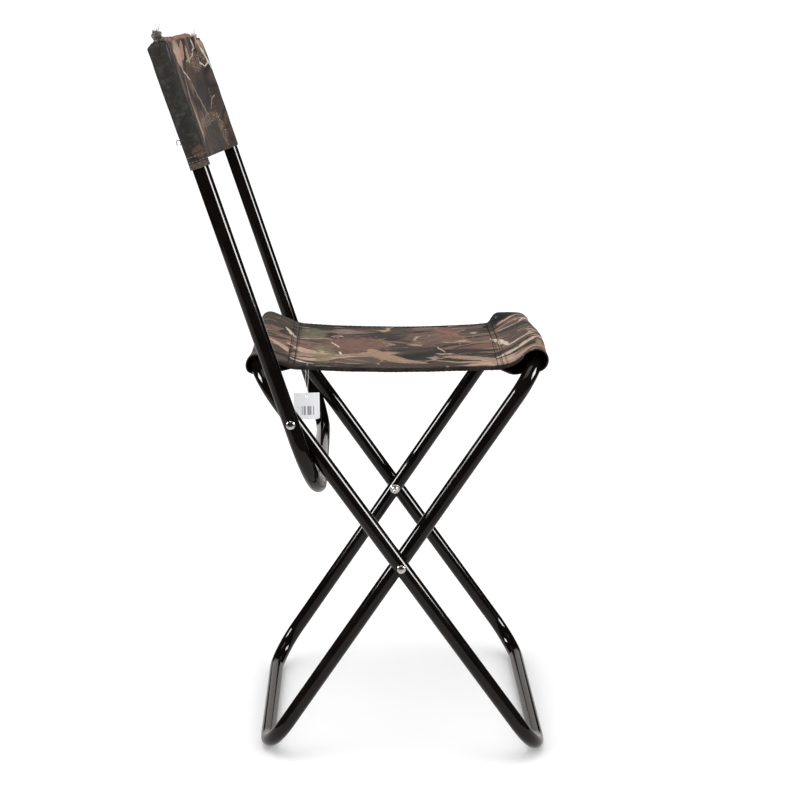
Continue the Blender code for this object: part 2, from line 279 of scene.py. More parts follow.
def enamel():
    """Gloss black enamel: a little orange peel, and dust and rub marks that dull it here and there."""
    g = Graph("gloss_black_enamel")
    at = g.here()
    dull = g.noise(at, 35, 4, 0.6)
    dust = g.step(g.noise(at, 900, 1), 0.7, 0.8)
    colour = g.blend(dull, 0.3, 0.75, (0.0034, 0.0026, 0.0023), (0.0068, 0.005, 0.0044))
    colour = g.mix(g.times(dust, 0.2), colour, (0.04, 0.036, 0.033))
    rough = g.math("ADD", g.step(dull, 0.35, 0.8, 0.07, 0.12), g.times(dust, 0.1))
    return g.shader(colour, rough, g.noise(at, 420), 0.000008, IOR=1.34)


def steel(name, colour, rough, brushed=0.0):
    """Bare or plated steel with fine rubbed scratches and a faint stain."""
    g = Graph(name)
    at = g.here()
    scratch = g.noise(g.mapped(at, (400, 5000, 5000)), 1, 3, 0.7)
    shade = g.blend(g.noise(at, 300, 3, 0.6), 0.35, 0.8, colour, dim(colour, 0.6))
    roughness = g.math("ADD", g.step(scratch, 0.3, 0.7, rough, rough + 0.14), brushed)
    return g.shader(shade, roughness, scratch, 0.00002, Metallic=1.0)


def plastic():
    g = Graph("matte_black_plastic")
    grain = g.noise(g.here(), 2500, 2, 0.6)
    shade = g.mix(grain, (0.009, 0.009, 0.009), (0.016, 0.015, 0.015))
    return g.shader(shade, g.step(grain, 0.3, 0.7, 0.45, 0.6), grain, 0.00005)


def weave(g, u, v, pitch):
    """The height of a plain weave with threads this far apart."""
    turn = 2 * math.pi / pitch
    product = g.times(g.math("SINE", g.times(u, turn)), g.math("SINE", g.times(v, turn)))
    return g.math("MULTIPLY_ADD", product, 0.5, 0.5)


def dark_cloth(name, low, high, pitch=0.0006):
    """Plain woven cloth in one dark colour: the print's reverse, hems and tapes."""
    g = Graph(name)
    flat = g.flat()
    u, v, _ = g.split(flat)
    threads = weave(g, u, v, pitch)
    colour = g.blend(g.noise(flat, 60, 4, 0.6), 0.3, 0.75, low, high)
    # Painted shade: darker where the weave dips between its threads.
    colour = g.mix(g.times(g.math("SUBTRACT", 1.0, threads), 0.35), colour, (0.002, 0.002, 0.002))
    return g.shader(colour, 0.85, threads, 0.00012, Specular_IOR_Level=0.12)


def frayed(name, low, high):
    """Faded cord or bunched cloth, mottled at the size of its strands."""
    g = Graph(name)
    at = g.here()
    strand = g.noise(at, 1400, 3, 0.6)
    both = g.math("MULTIPLY_ADD", strand, 0.45, g.times(g.noise(at, 330, 3, 0.65), 0.55))
    colour = g.blend(both, 0.4, 0.62, low, high)
    return g.shader(colour, 0.85, strand, 0.0002, Specular_IOR_Level=0.12)


def unit(g, flat, centre, turn, size):
    """Flat coordinates moved to this centre, turned and divided by the size, as two sockets."""
    c, n = math.cos(turn), math.sin(turn)
    moved = -(c * centre[0] - n * centre[1]), -(n * centre[0] + c * centre[1]), 0
    u, v, _ = g.split(g.mapped(flat, turn=turn, move=moved))
    return g.math("DIVIDE", u, size[0]), g.math("DIVIDE", v, size[1])


def blade(g, flat, start, end, half, bend):
    """A mask of one printed reed: a pointed, bent stroke between two places on the cloth."""
    du, dv = end[0] - start[0], end[1] - start[1]
    centre = (start[0] + end[0]) / 2, (start[1] + end[1]) / 2
    x, y = unit(g, flat, centre, math.atan2(du, dv), (half, math.hypot(du, dv) / 2))
    y2 = g.times(y, y)
    x = g.math("MULTIPLY_ADD", y2, bend / half, x)
    room = g.math("POWER", g.math("SUBTRACT", 1.0, y2, clamp=True), 0.6)
    over = g.math("SUBTRACT", g.math("ABSOLUTE", x), room)
    return g.times(g.step(over, -0.25, 0.05, 1.0, 0.0), g.math("LESS_THAN", y2, 1.0))


def blot(g, flat, centre, size):
    """A mask of one soft, ragged patch."""
    x, y = unit(g, flat, centre, 0.0, size)
    reach = g.math("MULTIPLY_ADD", x, x, g.times(y, y))
    rag = g.math("SUBTRACT", g.noise(flat, 150, 3, 0.65), 0.5)
    return g.step(g.math("MULTIPLY_ADD", rag, 1.8, reach), 0.45, 1.15, 1.0, 0.0)


def bent(g, flat, scale, reach, seed):
    """Flat coordinates pushed about by a noise, so that printed edges wander."""
    push = g.noise(g.mapped(flat, move=(seed, seed, 0)), scale, out=1)
    centred = g.node("VectorMath", {0: push, 1: (0.5, 0.5, 0.5)}, operation="SUBTRACT").outputs[0]
    inputs = {0: centred, 1: (*reach, 0), 2: flat}
    return g.node("VectorMath", inputs, operation="MULTIPLY_ADD").outputs[0]


def stretched(g, flat, lean, size, move):
    """Flat coordinates turned by this many degrees, divided by the size and moved."""
    return g.mapped(g.mapped(flat, turn=math.radians(lean)), (1 / size[0], 1 / size[1], 1), move=move)


def reeds(g, flat, under, lean, size, palette, cover, seed):
    """Overlapping blades of about this width and length, each in its own colour, darker at one edge."""
    shape = stretched(g, flat, lean, size, (seed, seed * 3, 0))
    hue, chance, _ = g.channels(g.cells(shape, 1.0)[1])
    fibre = g.noise(g.mapped(shape, (7, 1.2, 1)), 1, 3, 0.7)
    colour = g.blend(fibre, 0.3, 0.8, g.ramp(hue, palette), UMBER, 0.6)
    edge = g.cells(shape, 1.0, "DISTANCE_TO_EDGE")[0]
    colour = g.mix(g.step(edge, 0.0, 0.16, 0.9, 0.0), colour, SOOT)
    return g.mix(g.math("LESS_THAN", chance, cover), under, colour)


def twigs(g, flat, under, lean, size, seed, tone, amount, thin):
    """Thin winding twigs, where a stretched noise passes through its middle."""
    field = g.noise(stretched(g, flat, lean, size, (seed, seed * 2, 0)), 1, 1.5)
    line = g.step(g.math("ABSOLUTE", g.math("SUBTRACT", field, 0.5)), thin, thin * 2, 1.0, 0.0)
    where = g.noise(g.mapped(flat, move=(seed * 1.7, 0, 0)), 28, 1)
    return g.mix(g.times(line, g.step(where, amount, amount + 0.05)), under, tone)


CREAM = (0.84, 0.7, 0.56)
SALMON = (0.67, 0.43, 0.32)
TAN = (0.52, 0.35, 0.235)
REDDISH = (0.30, 0.145, 0.1)
BROWN = (0.235, 0.132, 0.093)
DUN = (0.16, 0.103, 0.076)
UMBER = (0.07, 0.047, 0.037)
SOOT = (0.021, 0.0165, 0.014)
OLIVE = (0.31, 0.262, 0.13)
MOSS = (0.088, 0.072, 0.047)
PLUM = (0.055, 0.041, 0.04)
# The near-black green of the painted shade on the band's left sleeve.
SLEEVE_SHADE = (0.017, 0.0175, 0.0145)
RUST = (0.15, 0.06, 0.028)


def in_metres(table):
    """A table's rows with their millimetres as metres, and the tone at each row's end as it is."""
    return [[length / 1000 for length in row[:-1]] + [row[-1]] for row in table]


def reed_print(name, ground, layers, patches, marks, rows=(), painted_shade_edge=None, side=(), flecks=(), wild=True):
    """Woven cloth with a printed thicket: a ground, blades over it, patches, single reeds and twigs.

    rows are the places along the cloth where sewing puckers it, and the colour is darkened along each as
    painted shade of the puckers. Left of the given shade edge across the cloth the print is nearly plain: a
    near-black painted shade with a faint mottle covers it, apart from the patches in side. Twigs and the
    stronger specks are on a wild print only.
    """
    g = Graph(name)
    flat = g.flat()
    u, v, _ = g.split(flat)
    threads = weave(g, u, v, 0.0007)
    loose = bent(g, flat, 30, (0.03, 0.02), 1.0)
    drawn = bent(g, bent(g, flat, 45, (0.012, 0.008), 5.0), 260, (0.0035, 0.0025), 2.0)
    colour = g.ramp(g.noise(g.mapped(loose, (26, 14, 1)), 1, 5, 0.62), ground)
    for layer in layers:
        colour = reeds(g, loose, colour, *layer)
    for across, along, wide, tall, tone in in_metres(patches):
        mottle = g.noise(g.mapped(drawn, (260, 70, 1)), 1, 4, 0.65)
        shade = g.blend(mottle, 0.35, 0.72, tone, dim(tone, 0.4))
        colour = g.mix(g.times(blot(g, drawn, (across, along), (wide, tall)), 0.84), colour, shade)
    # Painted shade: left of the shade edge the colour is pushed to a near-black green with a faint mottle.
    if painted_shade_edge is not None:
        shade = g.blend(g.noise(drawn, 130, 4, 0.65), 0.45, 0.75, SLEEVE_SHADE, dim(SLEEVE_SHADE, 3.2))
        colour = g.mix(g.step(u, painted_shade_edge - 0.003, painted_shade_edge + 0.003, 0.93, 0.0), colour, shade)
    for across, along, wide, tall, tone in in_metres(side):
        shade = g.blend(g.noise(drawn, 500, 3, 0.6), 0.35, 0.7, tone, dim(tone, 0.3))
        colour = g.mix(g.times(blot(g, flat, (across, along), (wide, tall)), 0.85), colour, shade)
    for u0, v0, u1, v1, half, bend, tone in in_metres(marks):
        fibre = g.mapped(g.mapped(drawn, turn=math.atan2(u1 - u0, v1 - v0)), (420, 40, 1))
        shade = g.blend(g.noise(fibre, 1, 3, 0.65), 0.35, 0.75, tone, dim(tone, 0.42), 0.75)
        colour = g.mix(blade(g, drawn, (u0, v0), (u1, v1), half, bend), colour, shade)
    for across, along, wide, tall, tone in in_metres(flecks):
        spots = g.step(g.noise(g.mapped(flat, (300, 700, 1)), 1, 2, 0.6), 0.53, 0.6)
        colour = g.mix(g.times(spots, blot(g, flat, (across, along), (wide, tall))), colour, tone)
    if wild:
        colour = twigs(g, drawn, colour, -16, (0.03, 0.09), 3.3, TAN, 0.53, 0.007)
        colour = twigs(g, drawn, colour, 28, (0.035, 0.08), 8.1, (0.36, 0.25, 0.18), 0.55, 0.005)
    speck = g.step(g.noise(flat, 520), 0.66, 0.74)
    colour = g.mix(g.times(speck, 0.35 if wild else 0.12), colour, (0.4, 0.31, 0.24))
    colour = g.blend(g.noise(flat, 700, 2, 0.6), 0.4, 0.8, colour, SOOT, 0.5)
    # Painted shade: a thin ragged darkening along each sewn row, where the seam puckers the cloth.
    for at in rows:
        ragged = g.math("MULTIPLY_ADD", g.noise(flat, 500, 1), 0.0016, at - 0.0008)
        away = g.math("ABSOLUTE", g.math("SUBTRACT", v, ragged))
        colour = g.mix(g.step(away, 0.0003, 0.0012, 0.55, 0.0), colour, SOOT)
    # Painted shade: darker where the weave dips between its threads.
    colour = g.mix(g.times(g.math("SUBTRACT", 1.0, threads), 0.25), colour, SOOT)
    height = g.math("MULTIPLY_ADD", g.noise(flat, 3000, 2, 0.6), 0.5, threads)
    return g.shader(colour, 0.75, height, 0.00012, Specular_IOR_Level=0.16)


def card_paper():
    """White card with a few plain grey bars that stand for nothing."""
    g = Graph("white_tag_card")
    x, y, _ = g.split(g.flat())
    column = g.node("CombineXYZ", {0: x}).outputs[0]
    ink = g.step(g.channels(g.cells(column, 1000)[1])[0], 0.42, 0.5, 0.8, 0.0)
    for at, low, high in ((x, -0.0095, 0.0075), (y, -0.0225, -0.0135)):
        ink = g.times(ink, g.times(g.math("GREATER_THAN", at, low), g.math("LESS_THAN", at, high)))
    fibre = g.noise(g.here(), 1500, 3, 0.6)
    white = g.mix(fibre, (0.86, 0.86, 0.89), (0.92, 0.92, 0.94))
    return g.shader(g.mix(ink, white, (0.16, 0.16, 0.17)), 0.45, fibre, 0.00002)


def nylon():
    g = Graph("clear_nylon_line")
    fade = g.noise(g.here(), 400)
    colour = g.mix(fade, (0.75, 0.77, 0.8), (0.9, 0.91, 0.93))
    return g.shader(colour, g.step(fade, 0.3, 0.7, 0.15, 0.3), Transmission_Weight=0.7, IOR=1.5)


MIXED = [
    (0.0, SOOT), (0.16, UMBER), (0.32, DUN), (0.5, BROWN),
    (0.64, REDDISH), (0.76, UMBER), (0.86, TAN), (1.0, SALMON),
]
MUTED = [(0.0, SOOT), (0.3, UMBER), (0.55, DUN), (0.75, MOSS), (0.9, BROWN), (1.0, DUN)]
SEAT_GROUND = [(0.28, UMBER), (0.4, DUN), (0.5, BROWN), (0.6, (0.3, 0.18, 0.13)), (0.72, DUN)]

# The prints, in mm on the flat cloth: u across it and v along it, or up the band from the back's pivot.
# A patch is (u, v, half width, half length, tone).
# A mark is (u, v, end u, end v, half width, bend, tone).
SEAT_PATCHES = [
    (0, 125, 50, 40, REDDISH),
    (30, 200, 50, 30, BROWN),
    (-50, 89, 45, 13, OLIVE),
    (55, 75, 45, 18, (0.22, 0.19, 0.11)),
    (100, 30, 60, 22, MOSS),
    (100, 155, 22, 40, MOSS),
    (15, 172, 22, 13, UMBER),
    (-60, 188, 16, 20, SOOT),
    (15, 232, 22, 16, (0.3, 0.14, 0.09)),
    (70, 222, 40, 16, REDDISH),
    (0, 300, 85, 24, (0.15, 0.095, 0.072)),
    (-85, 315, 22, 7, (0.46, 0.29, 0.17)),
    (66, 298, 12, 9, REDDISH),
]
SEAT_MARKS = [
    (-20, 30, -62, 56, 6, 4, SALMON),
    (-28, 58, -54, 82, 10, -2, (0.62, 0.43, 0.33)),
    (-88, 55, -104, 81, 2.8, 0, CREAM),
    (64, 44, 20, 58, 3, 0, CREAM),
    (20, 58, 36, 96, 3, 0, TAN),
    (-20, 50, -30, 58, 2.2, 0, CREAM),
    (16, 97, -19, 105, 1.3, 0, (0.82, 0.7, 0.6)),
    (-36, 106, -53, 108, 1.7, 0, (0.86, 0.8, 0.72)),
    (-72, 106, -86, 137, 2.5, 0, (0.3, 0.23, 0.17)),
    (-90, 100, -98, 128, 1.8, 0, TAN),
    (-28, 128, -108, 186, 13, -12, (0.46, 0.29, 0.18)),
    (-100, 178, -58, 232, 1.4, 4, TAN),
    (-62, 214, -94, 270, 9, 3, (0.47, 0.31, 0.2)),
    (-85, 200, -109, 272, 4, -2, TAN),
    (-12, 211, -46, 216, 0.9, 1, CREAM),
    (105, 212, 30, 243, 3.5, 2, (0.38, 0.16, 0.1)),
    (20, 200, 100, 250, 3, 2, REDDISH),
    (40, 130, 0, 200, 4, 0, REDDISH),
    (26, 276, 27, 325, 11.5, 0, (0.06, 0.05, 0.038)),
    # Near-black mark at the front loop's far end: painted shade where the cloth turns under the bar.
    (90, 270, 124, 302, 16, 0, (0.005, 0.005, 0.0045)),
    (80, 282, 96, 311, 3.2, 0, (0.6, 0.43, 0.33)),
    (40, 274, 41, 304, 2.6, 0, (0.62, 0.47, 0.37)),
    (38, 300, 100, 331, 3.8, 2, (0.68, 0.46, 0.37)),
    (60, 276, 66, 318, 2, 0, TAN),
    (14, 268, -52, 285, 3.5, 1, CREAM),
    (-52, 281, -38, 314, 3, 0, (0.74, 0.56, 0.45)),
    (-84, 264, -79, 297, 6.2, 0, (0.78, 0.6, 0.48)),
    (-80, 290, -36, 329, 5.5, 3, (0.74, 0.53, 0.43)),
    (-66, 284, -52, 318, 3.5, 0, UMBER),
    (-101, 284, -92, 310, 4.5, 0, (0.23, 0.155, 0.1)),
    (-117, 266, -111, 296, 6, 0, (0.5, 0.33, 0.27)),
]
BAND_GROUND = [(0.3, SOOT), (0.45, UMBER), (0.56, (0.075, 0.052, 0.04)), (0.7, UMBER)]
BAND_PATCHES = [
    (70, 343, 40, 16, (0.11, 0.066, 0.036)),
    (115, 321, 55, 21, PLUM),
    (60, 274, 100, 15, (0.085, 0.068, 0.052)),
    (176, 277, 14, 18, RUST),
    (4, 367, 30, 16, (0.74, 0.49, 0.37)),
]
BAND_SIDE = [
    (-180, 275.5, 8, 6, (0.14, 0.075, 0.055)),
    (-184, 263.5, 24, 3.2, (0.15, 0.115, 0.08)),
]
BAND_FLECKS = [
    (70, 293, 85, 7, TAN),
    (142, 275, 14, 22, TAN),
    (120, 355, 50, 12, TAN),
]
BAND_MARKS = [
    (62, 379, 26, 360, 9, 0, (0.52, 0.28, 0.19)),
    (82, 375, 80, 355, 8, 0, (0.52, 0.3, 0.21)),
    (135, 381, 141, 368, 3, 0, CREAM),
    (141, 369, 100, 360, 1.2, 0, CREAM),
    (105, 360.5, 55, 357.5, 1.2, 0, TAN),
    (143, 353, 158, 346, 1.3, 0, CREAM),
    (156, 346, 172, 348.5, 1.2, 0, CREAM),
    (157, 376, 176, 330, 2, 0, (0.88, 0.78, 0.66)),
    (-4, 353, 45, 339, 1.3, 0, CREAM),
    (40, 341, 92, 295, 2.2, 0, TAN),
    (120, 300, 160, 315, 1.2, 0, TAN),
    (-175, 378, -177.5, 361, 1.4, 0.5, (0.17, 0.12, 0.12)),
]

ENAMEL = enamel()
NICKEL = steel("nickel_plate", (0.78, 0.77, 0.75), 0.16)
BARE = steel("bare_steel", (0.5, 0.49, 0.47), 0.3, 0.05)
PLUG = plastic()


def seat_print(name, low, high):
    """The seat's print, with only the patches and marks that reach the rows from low to high, in mm."""
    return reed_print(
        name, SEAT_GROUND,
        [(-8, (0.03, 0.11), MUTED, 0.6, 1.7), (12, (0.022, 0.1), MIXED, 0.45, 5.2)],
        [patch for patch in SEAT_PATCHES if low - 60 < patch[1] < high + 60],
        [m for m in SEAT_MARKS if max(m[1], m[3]) > low - 20 and min(m[1], m[3]) < high + 20],
        # the rows along which the print gets painted shade of the seam puckers
        (0.0555, 0.0615, 0.27, 0.2755),
    )


SEAT_PRINT_REAR = seat_print("reed_print_seat_rear", 0, 168)
SEAT_PRINT_FRONT = seat_print("reed_print_seat_front", 168, 420)
# The band's left sleeve gets a near-black painted shade, from -0.165 m across outward.
BAND_PRINT = reed_print(
    "reed_print_band", BAND_GROUND,
    [(60, (0.03, 0.09), MUTED, 0.6, 2.9), (20, (0.02, 0.07), MIXED, 0.25, 7.7)],
    BAND_PATCHES, BAND_MARKS, painted_shade_edge=-0.165, side=BAND_SIDE, flecks=BAND_FLECKS, wild=False,
)
REVERSE = dark_cloth("cloth_reverse", (0.003, 0.003, 0.0028), (0.007, 0.0066, 0.006))
TAPE = dark_cloth("edge_tape", (0.014, 0.011, 0.009), (0.042, 0.031, 0.024), 0.0008)
HEM = dark_cloth("top_hem_cloth", (0.17, 0.062, 0.045), (0.5, 0.29, 0.22), 0.0007)
THREAD = dark_cloth("sewing_thread", (0.008, 0.006, 0.005), (0.02, 0.015, 0.012), 0.0003)
DRAB_THREAD = frayed("drab_cord", (0.022, 0.023, 0.018), (0.23, 0.215, 0.175))
PINK_THREAD = frayed("faded_cord", (0.2, 0.13, 0.105), (0.86, 0.77, 0.68))
PALE_THREAD = dark_cloth("pale_thread", (0.25, 0.21, 0.16), (0.45, 0.4, 0.32), 0.0003)
CARD = card_paper()
NYLON = nylon()


# --- tube frames ---


def axes(origin, lean):
    """The frame of a piece whose up direction leans back (+Y) by this angle, at this point."""
    return Matrix.Translation(origin) @ Matrix.Rotation(-lean, 4, "X")


def hollow(path, sides=40):
    """A tube with a wall along a path in the XZ plane, open at both ends."""
    points, faces = [], []
    across = Vector((0, 1, 0))
    for radius in (TUBE_R, TUBE_R - WALL):
        for p, (d, _, _) in zip(path, frames_along(path)):
            side = d.cross(across)
            points += [p + radius * (across * c + side * s) for c, s in circle(sides)]
    inner = len(path) * sides
    for a in range(0, inner - sides, sides):
        faces += ring_faces(a, a + sides, sides) + ring_faces(inner + a + sides, inner + a, sides)
    faces += ring_faces(inner, 0, sides) + ring_faces(inner - sides, 2 * inner - sides, sides)
    return points, faces


def tube_frame(name, right, bend, place_at, body, node):
    """A bent tube frame from the corners of its right half, as (x, up)."""
    corners = right + [(-x, up) for x, up in right[::-1]]
    points, faces = hollow(filleted([Vector((x, 0, up)) for x, up in corners], bend, 20))
    obj = mesh_object(name, [place_at @ p for p in points], faces, [ENAMEL], out=True)
    return place(obj, body, "black_enamel", node)


for end, half, lean in (("outer", OUTER_HALF, LEG_ANGLE), ("inner", INNER_HALF, -LEG_ANGLE)):
    right_half = [(GAP, LEG_UP), (half, LEG_UP), (half, -LEG_DOWN)]
    tube_frame(f"{end}_leg_tube", right_half, LEG_BEND, axes(LEGS, lean), f"{end}_legs", f"{end}_leg_frame")
back_axes = axes(BACK, BACK_ANGLE)
right_half = [(BACK_HALF, BACK_UP), (BACK_HALF, -BACK_TAIL)]
tube_frame("back_tube", right_half, BACK_BEND, back_axes, "back", "back_frame")


# --- rivets, spacers and washers ---

# A rivet has a domed head outside and an end rolled open over its washer inside
HEAD_R, HEAD_H, HEAD_RIM = 0.0044, 0.0022, 0.0003
ROLL_MIDDLE, ROLL_HALF, ROLL_H = 0.0024, 0.0014, 0.0018
SHANK_R, WASHER_HOLE_R, WASHER_R, SPACER_R = 0.0025, 0.0028, 0.0055, 0.006
WASHER, EASE = 0.0008, 0.00015


def turned(name, profile, place_at, closed, sides=48):
    """A nickel piece turned about X from (radius, x) points."""
    points, rings, faces = [], [], []
    for radius, along in profile:
        spots = circle(sides if radius else 1)
        ring = [place_at @ Vector((along, radius * c, radius * s)) for c, s in spots]
        rings.append(range(len(points), len(points) + len(ring)))
        points += ring
    for a, b in zip(rings, rings[1:] + rings[:1] if closed else rings[1:]):
        for k in range(sides):
            j = (k + 1) % sides
            corners = [ring[i % len(ring)] for ring, i in ((a, k), (a, j), (b, j), (b, k))]
            faces.append(tuple(dict.fromkeys(corners)))
    return mesh_object(name, points, faces, [NICKEL], 35, out=True)


def eased(rim, low, high):
    """A washer's profile with its rims eased."""
    hole = WASHER_HOLE_R
    return [
        (hole, low + EASE), (hole + EASE, low), (rim - EASE, low), (rim, low + EASE),
        (rim, high - EASE), (rim - EASE, high), (hole + EASE, high), (hole, high - EASE),
    ]


def rivet_profile(head_x, clinch_x):
    """A domed head with a flat rim, the shank, and an end rolled open over the washer."""
    profile = [(0, head_x + HEAD_H)]
    for k in range(1, 10):
        t = math.pi / 2 * k / 10
        profile.append((HEAD_R * math.sin(t), head_x + HEAD_RIM + (HEAD_H - HEAD_RIM) * math.cos(t)))
    profile += [(HEAD_R, head_x + HEAD_RIM), (HEAD_R - 0.0001, head_x)]
    profile += [(SHANK_R, head_x), (SHANK_R, clinch_x)]
    for k in range(9):
        t = math.pi * k / 8
        profile.append((ROLL_MIDDLE + ROLL_HALF * math.cos(t), clinch_x - ROLL_H * math.sin(t)))
    return profile + [(0.0008, clinch_x - 0.0001), (0, clinch_x - 0.0001)]


def riveted(prefix, outside, inside, centre):
    """Both sides' rivets, spacers and washers, for two frames with these half widths."""
    low, high = inside + TUBE_R + GAP, outside - TUBE_R - GAP
    under = inside - TUBE_R - GAP
    for side, turn in (("right", Matrix.Identity(4)), ("left", Matrix.Rotation(math.pi, 4, "Z"))):
        for kind, profile, closed in (
            ("rivet", rivet_profile(outside + TUBE_R + GAP, under - WASHER - GAP), False),
            ("spacer", eased(SPACER_R, low, high), True),
            ("rivet_washer", eased(WASHER_R, under - WASHER, under), True),
        ):
            node = f"{prefix}_{kind}_{side}"
            made = turned(f"{node}_turned", profile, Matrix.Translation(centre) @ turn, closed)
            place(made, "outer_legs", "nickel", node)


riveted("leg", OUTER_HALF, INNER_HALF, LEGS)
riveted("back", BACK_HALF, OUTER_HALF, BACK)

for made, names in (
    (BARE, ("outer_frame_ferrule", "inner_frame_ferrule")),
    (PLUG, ("upright_cap_left", "upright_cap_right")),
):
    for node in names:
        shown = frame["nodes"][node].data
        shown.materials.clear()
        shown.materials.append(made)


# --- cloth ---


def hull(points):
    """The convex hull of 2-D points, anticlockwise."""
    points = sorted(set(map(tuple, points)))

    def half(run):
        out = []
        for p in run:
            while len(out) > 1:
                (ax, ay), (bx, by) = out[-2], out[-1]
                if (bx - ax) * (p[1] - ay) - (by - ay) * (p[0] - ax) > 0:
                    break
                out.pop()
            out.append(p)
        return out[:-1]

    return np.array(half(points) + half(points[::-1]))


def walked(line):
    """How far along the line each of its points lies."""
    return np.r_[0, np.cumsum(np.linalg.norm(np.diff(line, axis=0), axis=1))]


def resample(line, count):
    """The same line as this many evenly spaced points."""
    line = np.asarray(line, float)
    lengths = walked(line)
    at = np.linspace(0, lengths[-1], count)
    return np.stack([np.interp(at, lengths, column) for column in line.T], 1)


def loop_round(seam, rings):
    """The taut loop from the seam over and round these (centre, radius) rings and back, as (inward, up).

    The bar's axis is at the origin, and inward is towards the seam.
    """
    turn = np.linspace(0, 2 * math.pi, 145)[:-1]
    around = [(c[0] + r * math.cos(t), c[1] + r * math.sin(t)) for c, r in rings for t in turn]
    shell = hull([*around, tuple(seam)])
    start = int(np.argmin(np.linalg.norm(shell - np.array(seam), axis=1)))
    shell = np.roll(shell, -start, axis=0)
    if shell[1][1] < shell[-1][1]:
        shell = np.r_[shell[:1], shell[:0:-1]]
    return resample(np.r_[shell, [[seam[0], seam[1] - CLOTH]]], 240)


def blurred(rows, times):
    """Softens kinks along each line, leaving its ends."""
    for _ in range(times):
        rows[:, 1:-1] = (rows[:, :-2] + 2 * rows[:, 1:-1] + rows[:, 2:]) / 4
    return rows


def normals_of(grid):
    n = np.cross(np.gradient(grid, axis=0), np.gradient(grid, axis=1))
    return n / (np.linalg.norm(n, axis=2, keepdims=True) + 1e-12)


def lay_flat(obj, flat):
    """Gives each vertex its place on the flat cloth."""
    corner = np.zeros(len(obj.data.loops), np.int32)
    obj.data.loops.foreach_get("vertex_index", corner)
    layer = obj.data.uv_layers.new(name="cloth")
    layer.data.foreach_set("uv", np.asarray(flat, np.float32)[corner].ravel())


def uv_from(obj):
    """Cloth coordinates for a small piece: its own place, which is enough for a plain weave."""
    co = np.array([v.co for v in obj.data.vertices], np.float32)
    lay_flat(obj, np.stack([co[:, 0] + co[:, 1] * 0.3, co[:, 2] + co[:, 1]], 1))
    return obj


def skin(spans, grid, flat, front, outward):
    """An object for each (name, first row, last row) of a grid of points, with its flat coordinates.

    Each has a front skin, a reverse skin and the edges between them. outward is 1 or -1.
    """
    columns = len(grid)
    n = normals_of(grid) * outward
    layers = np.stack([grid + n * CLOTH / 2, grid - n * CLOTH / 2])
    made = []
    for name, first, last in spans:
        wide = last - first + 1
        shift = columns * wide
        faces, shades = [], []
        for i in range(columns - 1):
            for a in range(i * wide, i * wide + wide - 1):
                quad = (a, a + wide, a + wide + 1, a + 1)[::outward]
                faces += [quad, tuple(shift + k for k in quad[::-1])]
                shades += [0, 1]
        rim = [i * wide for i in range(columns)]
        rim += [(columns - 1) * wide + j for j in range(1, wide)]
        rim += [i * wide + wide - 1 for i in range(columns - 2, -1, -1)]
        rim += range(wide - 2, 0, -1)
        faces += [(b, a, shift + a, shift + b)[::outward] for a, b in zip(rim, rim[1:] + rim[:1])]
        shades += [0] * len(rim)
        kept = slice(first, last + 1)
        obj = mesh_object(name, layers[:, :, kept].reshape(-1, 3), faces, [front, REVERSE], 0, shades)
        lay_flat(obj, np.tile(flat[:, kept].reshape(-1, 2), (2, 1)))
        up = n[:, kept].reshape(-1, 3)
        obj.data.normals_split_custom_set_from_vertices(np.r_[up, -up].tolist())
        made.append(obj)
    return made


def ruffle(p, size, seed):
    """A smooth field of three numbers, about -1 to 1, for small uneven folds."""
    return noise.noise(Vector((p[0] / size[0] + seed, p[1] / size[1], p[2] / size[2])))


CLOTH = 0.0013
SEAT_HALF = 0.125
SHEET_DIP = 0.0072
LOOP_ROWS, SHEET_ROWS, SEAT_COLUMNS = 64, 110, 90
SHARE = np.linspace(-1, 1, SEAT_COLUMNS)
SEAM_IN = 0.0345
OVER_REAR = 0.062
SHEET_END = LOOP_ROWS + SHEET_ROWS
CUT = LOOP_ROWS + SHEET_ROWS // 2


def seat_loop(bar, x, rear):
    """The loop's (y, z) points at this x, from the seam over the bar and back to the hem allowance."""
    near = float(smooth(-x, 0.075, SEAT_HALF))
    far = float(smooth(x, 0.06, SEAT_HALF))
    far_lip = float(smooth(x, 0.095, SEAT_HALF))
    belly = math.exp(-(((x + 0.026) / 0.066) ** 2))
    slope = -x / SEAT_HALF
    if rear:
        rings = [((-0.0007 * near, -0.0002 * near), TUBE_R + 0.0013 + 0.0014 * near)]
        seam = (SEAM_IN, -0.002 - 0.003 * max(-slope, 0))
    else:
        inward = 0.0027 * near - 0.0028 * far - 0.0021 * belly
        up = 0.0008 * near - 0.0036 * far - 0.0026 * far_lip + 0.0012 * belly
        rings = [((inward, up), TUBE_R + 0.0013 + 0.0021 * near + 0.001 * far + 0.0023 * belly)]
        rings.append(((0.019, -0.002 - 0.001 * far), 0.001 + 0.0068 * far))
        seam = (SEAM_IN + 0.0035 * slope, -0.003 - 0.002 * max(slope, 0) - 0.005 * max(-slope, 0))
    line = loop_round(seam, rings)
    if not rear:
        dip = 0.0032 * np.exp(-(((line[:, 0] - 0.024) / 0.008) ** 2)) * near
        sag = 0.0054 * np.exp(-(((line[:, 0] - 0.0265) / 0.011) ** 2)) * near
        line[:, 1] -= np.where(line[:, 1] > seam[1] - 0.0005, dip, sag)
    line = np.r_[line, [[seam[0] + 0.006, seam[1] - 1.05 * CLOTH]]]
    sign = -1 if rear else 1
    return np.stack([bar.y + sign * line[:, 0], bar.z + line[:, 1]], 1)


